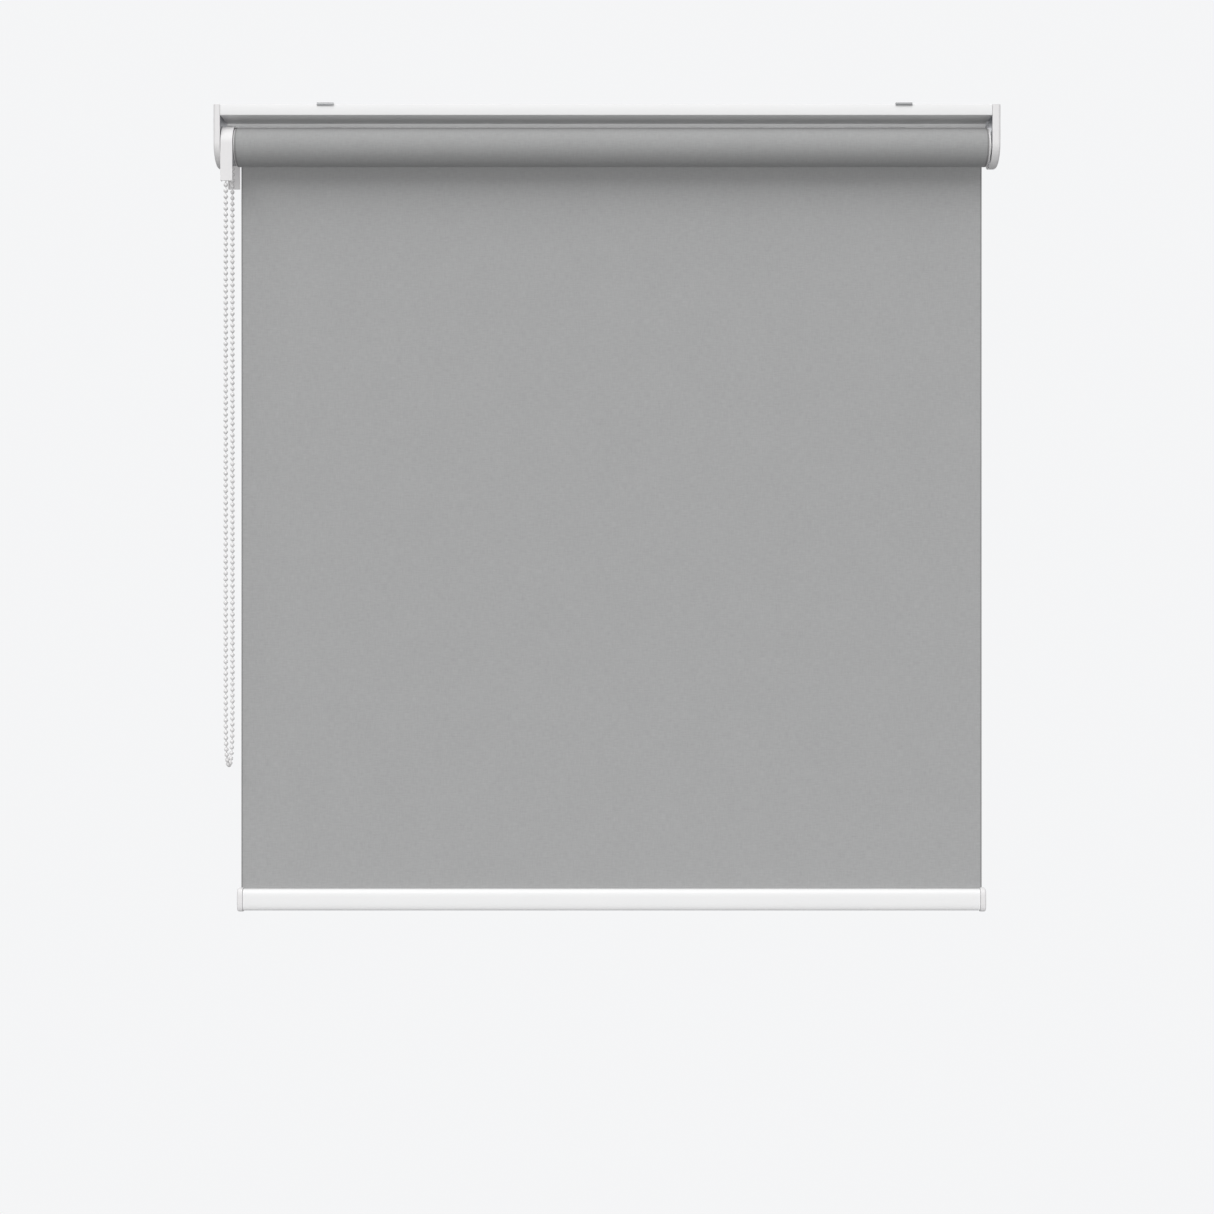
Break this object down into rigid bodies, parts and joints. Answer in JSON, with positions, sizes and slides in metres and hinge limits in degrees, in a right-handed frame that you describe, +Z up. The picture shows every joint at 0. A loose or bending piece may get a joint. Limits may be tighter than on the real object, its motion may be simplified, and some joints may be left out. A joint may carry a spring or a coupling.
{
  "type": "roller blind",
  "caption": "Roller blind with a head rail, end brackets, a bead chain drive, a wound grey cloth that hangs from the back of its roller, and an oval bottom bar.",
  "frame": {"origin": "middle of the blind's width on the ceiling plane that the mounting clips touch, straight above the roller's axis", "axes": "+Z up, -Y towards the room, +X to the right as seen from the room"},
  "size_m": [0.8, 0.0553, 0.8277],
  "materials": {
    "white_metal": "white powder coat, satin",
    "white_plastic": "white moulded plastic",
    "grey_plastic": "grey moulded plastic",
    "tube_aluminium": "mill finish",
    "spring_steel": "plain spring steel",
    "zinc_steel": "zinc plated",
    "cloth": "plain weave, opaque grey",
    "chain_plastic": "white moulded beads on a cord"
  },
  "bodies": {
    "head_rail_frame": {"head_rail": "white_metal", "mounting_clip_left": "spring_steel", "mounting_clip_right": "spring_steel", "control_bracket_plate": "zinc_steel", "control_bracket_cover": "white_plastic", "idle_bracket_plate": "zinc_steel", "idle_bracket_cover": "white_plastic", "control_cover_screw_front": "zinc_steel", "control_cover_screw_rear": "zinc_steel", "idle_cover_screw_front": "zinc_steel", "idle_cover_screw_rear": "zinc_steel", "rail_screw_left": "zinc_steel", "rail_screw_right": "zinc_steel", "control_hub": "grey_plastic", "hub_screw": "zinc_steel", "hub_retaining_clip": "spring_steel", "chain_guard": "white_plastic", "idle_socket": "white_plastic", "fabric_drop": "cloth", "bead_chain": "chain_plastic", "bead_chain_in_guard": "chain_plastic"},
    "roller": {"roller_tube": "tube_aluminium", "tube_strip": "white_plastic", "fabric_roll": "cloth", "drive_sleeve": "grey_plastic", "idle_plug": "white_plastic", "idle_bush": "grey_plastic", "idle_spring": "spring_steel"},
    "chain_wheel": {"chain_wheel": "grey_plastic", "wrap_spring_1": "spring_steel", "wrap_spring_2": "spring_steel"},
    "idle_pin": {"idle_pin": "spring_steel"},
    "bottom_bar": {"bottom_bar": "white_metal", "bar_spline": "white_plastic", "bar_cap_left": "white_plastic", "bar_cap_right": "white_plastic"}
  },
  "joints": [
    {"name": "roller_turn", "type": "hinge", "parent": "head_rail_frame", "child": "roller", "pos_m": [0, 0, -0.0404], "axis": [1, 0, 0], "range_deg": [-660, 1960]},
    {"name": "chain_wheel_turn", "type": "hinge", "parent": "head_rail_frame", "child": "chain_wheel", "pos_m": [0, 0, -0.0404], "axis": [1, 0, 0], "range_deg": [-662, 1962]},
    {"name": "bar_travel", "type": "slide", "parent": "head_rail_frame", "child": "bottom_bar", "axis": [0, 0, 1], "range_m": [-0.2395, 0.7105], "deforming": ["fabric_drop"]},
    {"name": "idle_pin_slide", "type": "slide", "parent": "roller", "child": "idle_pin", "axis": [-1, 0, 0], "range_m": [0, 0.006], "stiffness_N_per_m": 400, "springref_m": -0.008, "deforming": ["idle_spring"]}
  ],
  "couplings": [
    {"joint": "chain_wheel_turn", "follows": "roller_turn", "ratio": 1},
    {"joint": "bar_travel", "follows": "roller_turn", "m_per_rad": 0.020756}
  ]
}
